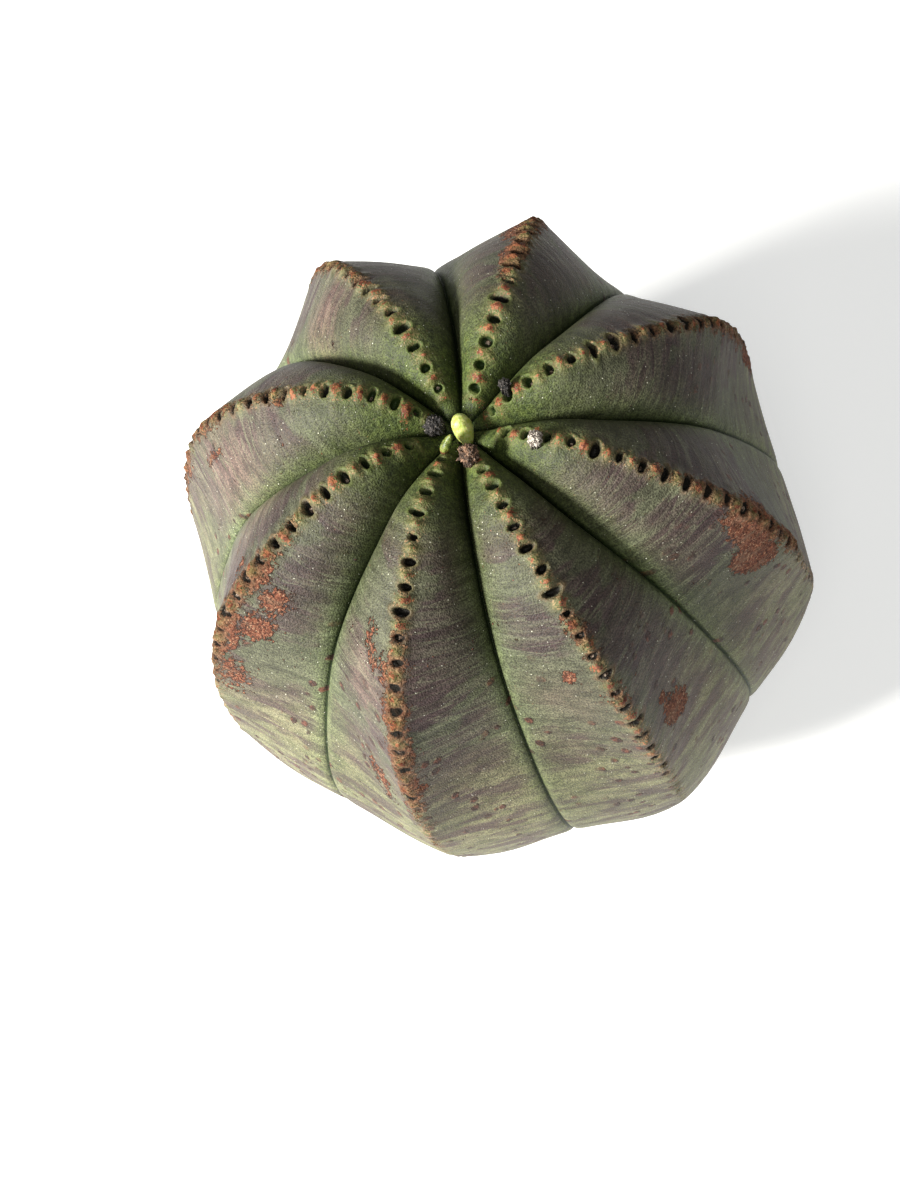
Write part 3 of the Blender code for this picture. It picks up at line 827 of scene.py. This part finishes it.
def cork_colour(g):
    """Rusty flakes, tan crumbs, and dark gaps that are fewer in the patches."""
    dark = g.tones(g.flake, 0.34, 0.50, (0.030, 0.012, 0.008), (0.125, 0.042, 0.024))
    cork = g.mix(g.band(g.flake, 0.48, 0.66), dark, (0.250, 0.096, 0.052))
    cork = g.mix(g.band(g.mottle, 0.48, 0.66, 0.0, 0.55), cork, (0.170, 0.110, 0.072))
    cork = g.mix(g.band(g.crumb, 0.59, 0.68, 0.0, 0.65), cork, (0.520, 0.340, 0.210))
    gaps = g.times(g.band(g.crumb, 0.44, 0.35), g.band(g.patch, 0.4, 0.8, 0.85, 0.15))
    return g.mix(gaps, cork, (0.016, 0.010, 0.007))


def zip_colours(g, skin):
    """Rims, grit, teeth with rusty scars, and dark pits, their darkness partly painted shade, with the odd
    scab.
    """
    rim = g.tones(g.along, 14.0, 34.0, (0.090, 0.120, 0.030), (0.130, 0.075, 0.040))
    skin = g.mix(g.times(g.rim, g.band(g.along, 40.0, 70.0, 0.6, 0.3)), skin, rim)
    grit = g.tones(g.chips, 0.42, 0.58, (0.026, 0.010, 0.007), (0.300, 0.180, 0.098))
    share = g.band(g.plus(g.crumbs, g.swing(g.crumb, 3.2)), 0.85, 1.25)
    skin = g.mix(g.times(share, g.band(g.along, 8.0, 20.0, 0.2, 0.85)), skin, grit)
    tooth = g.tones(g.crumb, 0.35, 0.65, (0.070, 0.085, 0.018), (0.230, 0.200, 0.085))
    skin = g.mix(g.times(g.tooth, g.band(g.along, 34.0, 56.0, 0.8, 0.45)), skin, tooth)
    kind = g.noise(g.solid, 1.6, 2.0)
    scar = g.tones(kind, 0.40, 0.60, (0.100, 0.020, 0.011), (0.250, 0.090, 0.040))
    scar = g.mix(g.band(g.crumb, 0.45, 0.36, 0.0, 0.85), scar, (0.030, 0.012, 0.008))
    share = g.band(g.plus(g.scar, g.swing(g.crumb, 2.2)), 0.42, 0.62)
    skin = g.mix(g.times(share, g.band(g.along, 46.0, 66.0, 0.92, 0.35)), skin, scar)
    # Painted shade, in part: the pits are coloured dark green near the crown and near black lower down for
    # the shade inside each hollow, with brown bits of dried matter mixed in; the ragged edge spreads it a
    # little past the hollow.
    pit = g.tones(g.along, 8.0, 20.0, (0.018, 0.036, 0.006), (0.007, 0.006, 0.004))
    share = g.times(g.band(g.chips, 0.45, 0.60), g.band(g.along, 30.0, 55.0))
    pit = g.mix(share, pit, (0.040, 0.022, 0.013))
    ragged = g.plus(g.pit, g.swing(g.crumb, g.band(g.along, 10.0, 30.0, 0.2, 1.3)))
    skin = g.mix(g.band(ragged, 0.22, 0.50), skin, pit)
    scab = g.tones(g.flake, 0.45, 0.60, (0.050, 0.025, 0.015), (0.420, 0.340, 0.270))
    return g.mix(g.band(g.scab, 0.35, 0.60), skin, scab)


def skin_material():
    """The stem's skin, layer on layer from the ground colour to the zip."""
    g = SkinGraph()
    skin = ground_colour(g)
    for layer in (growth_lines, older_skin, fresh_green, grain_and_specks):
        skin = layer(g, skin)
    dots = dot_share(g)
    red_brown = g.tones(g.fine, 0.44, 0.58, (0.022, 0.008, 0.006), (0.100, 0.032, 0.018))
    skin = g.mix(g.times(dots, 0.92), skin, red_brown)
    cork = cork_share(g)
    skin = zip_colours(g, g.mix(cork, skin, cork_colour(g)))

    g.shader.inputs["Specular IOR Level"].default_value = 0.22
    roughness = g.larger(g.band(g.grain, 0.3, 0.7, 0.48, 0.66), g.times(cork, 0.92))
    normal = g.bump(g.plus(g.times(g.grain, 0.8), g.times(g.fine, 0.5)), 0.16)
    normal = g.bump(g.plus(g.lines, g.times(dots, 0.8)), 0.14, normal)
    crumbly = g.larger(cork, g.times(g.crust, 0.7))
    normal = g.bump(g.times(g.plus(g.times(g.flake, 0.6), g.chips), crumbly), 0.75, normal)
    return g.finish(skin, roughness, normal)


def bark_material():
    """Dry, cracked root bark."""
    g = Graph("root_bark")
    solid = g.objects()
    rings = g.noise(g.scaled(solid, (0.35, 0.35, 2.2)), 1.0, 4.0, 0.65)
    specks = g.noise(solid, 2.2, 4.0, 0.7)
    colour = g.tones(rings, 0.38, 0.62, (0.095, 0.050, 0.026), (0.300, 0.185, 0.100))
    colour = g.mix(g.band(specks, 0.52, 0.70, 0.0, 0.7), colour, (0.430, 0.320, 0.210))
    roughness = g.band(specks, 0.3, 0.7, 0.80, 0.96)
    return g.finish(colour, roughness, g.bump(g.plus(rings, g.times(specks, 0.6)), 0.6))


def bud_material(name, low_colour, high_colour, foot_colour, foot_z):
    """A fresh bud: scaly green with a darker foot below the height foot_z, in mm."""
    g = Graph(name)
    solid = g.objects()
    _, _, height = g.parts(solid)
    veins = g.noise(g.scaled(solid, (2.4, 2.4, 0.7)), 1.0, 3.0)
    specks = g.noise(solid, 5.0, 2.0)
    colour = g.tones(veins, 0.38, 0.62, low_colour, high_colour)
    colour = g.mix(g.band(specks, 0.55, 0.75, 0.0, 0.35), colour, (0.62, 0.66, 0.30))
    colour = g.mix(g.band(height, foot_z + 0.7, foot_z), colour, foot_colour)
    g.shader.inputs["Subsurface Weight"].default_value = 0.15
    g.shader.inputs["Subsurface Scale"].default_value = 1.2 * MM
    return g.finish(colour, g.band(veins, 0.3, 0.7, 0.34, 0.50), g.bump(veins, 0.12))


def dry_material(name, dark, light, share):
    """A shrivelled flower, dark in its folds."""
    g = Graph(name)
    solid = g.objects()
    folds = g.noise(solid, 1.7, 4.0, 0.7)
    specks = g.noise(solid, 5.5, 3.0, 0.6)
    colour = g.tones(folds, share, share + 0.18, dark, light)
    colour = g.mix(g.band(specks, 0.58, 0.72, 0.0, 0.6), colour, (0.52, 0.46, 0.38))
    roughness = g.band(specks, 0.3, 0.7, 0.75, 0.95)
    return g.finish(colour, roughness, g.bump(g.plus(folds, g.times(specks, 0.4)), 0.35))


def dress(piece, node, material):
    """Gives a finished piece its material and its place in the frame."""
    piece.data.materials.clear()
    piece.data.materials.append(material)
    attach(piece, "root")
    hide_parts(node)
    return piece


def bark_radius(angle, z, height):
    """The root's radius in mm, fluted and ringed with bark above its cut foot."""
    share = np.interp(z, (0.0, 0.5, 2.4, 4.2, height), (0.94, 1.0, 1.0, 0.98, 0.93))
    flute = 1 - 0.05 * (2 + math.sin(3 * angle + 0.6) + math.sin(7 * angle)) / 4
    at = Vector((math.cos(angle) * 4, math.sin(angle) * 4, z * 1.6))
    bark = 0.018 * (noise.noise(at) + 0.6 * noise.noise(at * 2.7) - 1.0) if z > 0 else 0.0
    return (RECESS_RADIUS - SEAT_GAP) * (share * flute + bark - 0.002)


def join_rings(mesh, low, high):
    """Faces between two rings of as many vertices."""
    for i in range(len(low)):
        j = (i + 1) % len(low)
        mesh.faces.new([low[i], low[j], high[j], high[i]])


def close_end(mesh, ring, z):
    """A flat end: two smaller rings, and a fan to the middle."""
    inner = ring
    for share in (0.66, 0.33):
        loop = [mesh.verts.new(Vector((v.co.x * share, v.co.y * share, z * MM))) for v in ring]
        join_rings(mesh, inner, loop)
        inner = loop
    middle = mesh.verts.new(Vector((0, 0, z * MM)))
    for i in range(len(inner)):
        mesh.faces.new([inner[i], inner[(i + 1) % len(inner)], middle])


def build_root(sides=96, levels=30):
    """The trimmed root: fluted and ringed bark with a flat cut at the bottom."""
    height = RECESS_TOP - SEAT_GAP
    mesh = bmesh.new()
    rings = []
    for level in range(levels + 1):
        z = height * level / levels
        ring = []
        for i in range(sides):
            angle = 2 * math.pi * i / sides
            radius = bark_radius(angle, z, height)
            at = Vector((radius * math.cos(angle), radius * math.sin(angle), z))
            ring.append(mesh.verts.new(at * MM))
        rings.append(ring)
    for low, high in zip(rings, rings[1:]):
        join_rings(mesh, low, high)
    close_end(mesh, rings[0], 0.0)
    close_end(mesh, rings[-1], height)
    return to_object("root_bark", mesh)


def seat_on_stem(mesh, stem_tree, outward, compass_deg, lean_deg, lean_to_deg):
    """Leans a small piece, moves it over its place, lowers it onto the stem and draws its flat foot down to
    the stem's surface."""
    foot = [vertex for vertex in mesh.verts if vertex.co.z < FOOT_LAYER * MM]
    angle, lean_to = math.radians(compass_deg), math.radians(lean_to_deg)
    axis = Vector((-math.sin(lean_to), math.cos(lean_to), 0))
    above = Vector((outward * math.cos(angle), outward * math.sin(angle), 160.0)) * MM
    mesh.transform(Matrix.Translation(above) @ Matrix.Rotation(math.radians(lean_deg), 4, axis))

    def drop(vertex):
        """How far a vertex is above the stem."""
        return stem_tree.ray_cast(vertex.co, Vector((0, 0, -1)))[3]

    lowest = min(drop(vertex) for vertex in mesh.verts)
    mesh.transform(Matrix.Translation(Vector((0, 0, FOOT_GAP * MM - lowest))))
    for vertex in foot:
        vertex.co.z -= min(drop(vertex) - FOOT_GAP * MM, FOOT_REACH * MM)
    return mesh


def build_bud(length, width, foot_share, top_share, scales=5, foot=0.08):
    """A bud wrapped in overlapping scales, standing along +Z on a flat foot."""
    mesh = bmesh.new()
    bmesh.ops.create_uvsphere(mesh, u_segments=40, v_segments=32, radius=1.0)
    for vertex in mesh.verts:
        height = (vertex.co.z + 1) / 2
        angle = math.atan2(vertex.co.y, vertex.co.x)
        taper = foot_share + (top_share - foot_share) * height
        wrap = (scales * angle / (2 * math.pi) + height * 1.3) % 1.0
        rib = 1 + 0.09 * (wrap - 0.5) * math.sin(math.pi * height)
        spread = width / 2 * taper * rib
        rise = (max(height, foot) - foot) * length
        vertex.co = Vector((vertex.co.x * spread, vertex.co.y * spread, rise)) * MM
    return mesh


def build_dried_flower(length, width, seed, foot=0.55):
    """A shrivelled flower: a crumpled knob with curled flaps, on a flat foot."""
    mesh = bmesh.new()
    bmesh.ops.create_icosphere(mesh, subdivisions=5, radius=1.0)
    for vertex in mesh.verts:
        at = vertex.co.copy()
        crumple = 1 + 0.35 * noise.noise(at * 1.9 + Vector((seed, 0, 0)))
        folds = abs(noise.noise(at * 3.4 + Vector((0, seed, 0))))
        flaps = abs(noise.noise(at * 7.0 + Vector((0, 0, seed))))
        point = at * (crumple + 0.55 * folds + 0.40 * flaps - 0.30)
        rise = (max(point.z, -foot) + foot) * length / 2
        vertex.co = Vector((point.x * width / 2, point.y * width / 2, rise)) * MM
    return mesh


def build_buds(stem_tree):
    """The flower bud and the leaf bud: length, width, shares of it at foot and top, place and lean."""
    green = bud_material("bud_green", (0.29, 0.35, 0.060), (0.43, 0.47, 0.16), (0.10, 0.12, 0.03), 73.9)
    leaf_tones = (0.045, 0.070, 0.010), (0.15, 0.19, 0.035), (0.12, 0.030, 0.020)
    leaf_green = bud_material("leaf_green", *leaf_tones, 76.2)
    buds = (
        ("flower_bud", 4.6, 2.8, 0.75, 1.1, 2.4, -80.0, 38.0, 92.0, green),
        ("leaf_bud", 3.2, 1.7, 1.0, 0.5, 4.4, -133.0, 38.0, 20.0, leaf_green),
    )
    for name, length, width, foot_share, top_share, *where, material in buds:
        mesh = seat_on_stem(build_bud(length, width, foot_share, top_share), stem_tree, *where)
        dress(to_object(name + "_green", mesh), name, material)


def build_dried_flowers(stem_tree):
    """The dried flowers: length, width, place and lean, and the seed of their crumples."""
    brown = dry_material("dry_brown", (0.035, 0.018, 0.010), (0.260, 0.150, 0.090), 0.44)
    dark = dry_material("dry_dark", (0.010, 0.009, 0.009), (0.110, 0.095, 0.090), 0.50)
    ashen = dry_material("dry_ashen", (0.110, 0.085, 0.070), (0.520, 0.480, 0.420), 0.40)
    flowers = (
        ("dried_flower_south", 2.4, 2.6, 6.4, -92.0, 12.0, -74.0, 3.0, brown),
        ("dried_flower_west", 2.2, 2.4, 2.9, 163.0, 10.0, 163.0, 7.0, dark),
        ("dried_flower_east", 2.8, 1.8, 11.7, -47.0, 8.0, -42.0, 11.0, ashen),
        ("dried_flower_north", 1.6, 1.5, 7.2, 6.0, 14.0, 30.0, 17.0, dark),
    )
    for name, length, width, *where, seed, material in flowers:
        mesh = seat_on_stem(build_dried_flower(length, width, seed), stem_tree, *where)
        dress(to_object(name + "_dry", mesh), name, material)


def place_camera():
    """The photograph's view: from above and in front, tilted 25 degrees from straight down, and rolled."""
    focal, width, height = 1300.0, 900.0, 1200.0  # pixels
    seen_at = (487.93, 699.87)  # the pixel that shows the point aimed at
    tilt, roll = math.radians(25.235), math.radians(-21.766)
    distance = 189.97 * MM
    aim = Vector((0.0, 0.0, LEAN_HEIGHT * MM))

    back = Vector((0, -math.sin(tilt), math.cos(tilt)))
    right = Vector((1, 0, 0))
    up = Vector((0, math.cos(tilt), math.sin(tilt)))
    rolled = Matrix((
        right * math.cos(roll) + up * math.sin(roll),
        up * math.cos(roll) - right * math.sin(roll),
        back,
    ))
    ax = math.atan((seen_at[0] - width / 2) / focal)
    ay = math.atan((height / 2 - seen_at[1]) / focal)
    turn_y = Matrix(((math.cos(ax), 0, -math.sin(ax)), (0, 1, 0), (math.sin(ax), 0, math.cos(ax))))
    turn_x = Matrix(((1, 0, 0), (0, math.cos(ay), math.sin(ay)), (0, -math.sin(ay), math.cos(ay))))
    axes = (turn_x @ turn_y @ rolled).transposed()

    data = bpy.data.cameras.new("camera")
    data.sensor_fit = "AUTO"
    data.sensor_width = 36.0
    data.lens = focal * data.sensor_width / height
    data.clip_start = 0.01
    camera = bpy.data.objects.new("camera", data)
    camera.matrix_world = Matrix.Translation(aim + back * distance) @ axes.to_4x4()
    bpy.context.scene.collection.objects.link(camera)
    bpy.context.scene.camera = camera


def add_light(name, place, size, power, colour):
    """A soft square light that looks at the middle of the plant."""
    data = bpy.data.lights.new(name, "AREA")
    data.shape = "SQUARE"
    data.size = size
    data.energy = power
    data.color = colour
    light = bpy.data.objects.new(name, data)
    light.location = Vector(place)
    towards = Vector((0, 0, 0.05)) - light.location
    light.rotation_euler = towards.to_track_quat("-Z", "Y").to_euler()
    bpy.context.scene.collection.objects.link(light)


def build_stage():
    """A wide pale floor, and soft studio light, strongest from the viewer's left and front."""
    mesh = bmesh.new()
    bmesh.ops.create_grid(mesh, x_segments=1, y_segments=1, size=3.0)
    floor = to_object("floor", mesh)
    g = Graph("floor_white")
    tone = g.noise(g.objects(), 0.004, 2.0)
    g.feed(g.shader.inputs["Base Color"], g.mix(tone, (0.74, 0.75, 0.755), (0.78, 0.785, 0.79)))
    g.shader.inputs["Roughness"].default_value = 0.9
    g.shader.inputs["Emission Color"].default_value = (0.95, 0.98, 1.0, 1.0)
    g.shader.inputs["Emission Strength"].default_value = 0.42
    floor.data.materials.append(g.material)
    floor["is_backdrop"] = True

    world = bpy.data.worlds.new("studio")
    world.use_nodes = True
    world.node_tree.nodes["Background"].inputs[0].default_value = (1.0, 0.96, 0.89, 1.0)
    world.node_tree.nodes["Background"].inputs[1].default_value = 0.235
    bpy.context.scene.world = world
    add_light("key", (-0.77, -0.13, 0.52), 0.20, 27.0, (1.0, 0.97, 0.91))
    add_light("fill", (-0.10, -0.45, 0.85), 0.50, 3.0, (1.0, 0.98, 0.94))
    bpy.context.scene.view_settings.view_transform = "Standard"


stem = build_stem()
dress(stem, "stem", skin_material())
dress(build_root(), "root_stub", bark_material())
stem_tree = BVHTree.FromObject(stem, bpy.context.evaluated_depsgraph_get())
build_buds(stem_tree)
build_dried_flowers(stem_tree)
place_camera()
build_stage()

boxes = {"cad": CAD_BOX, "visual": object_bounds()}
{name: [[float(n) for n in corner] for corner in box] for name, box in boxes.items()}
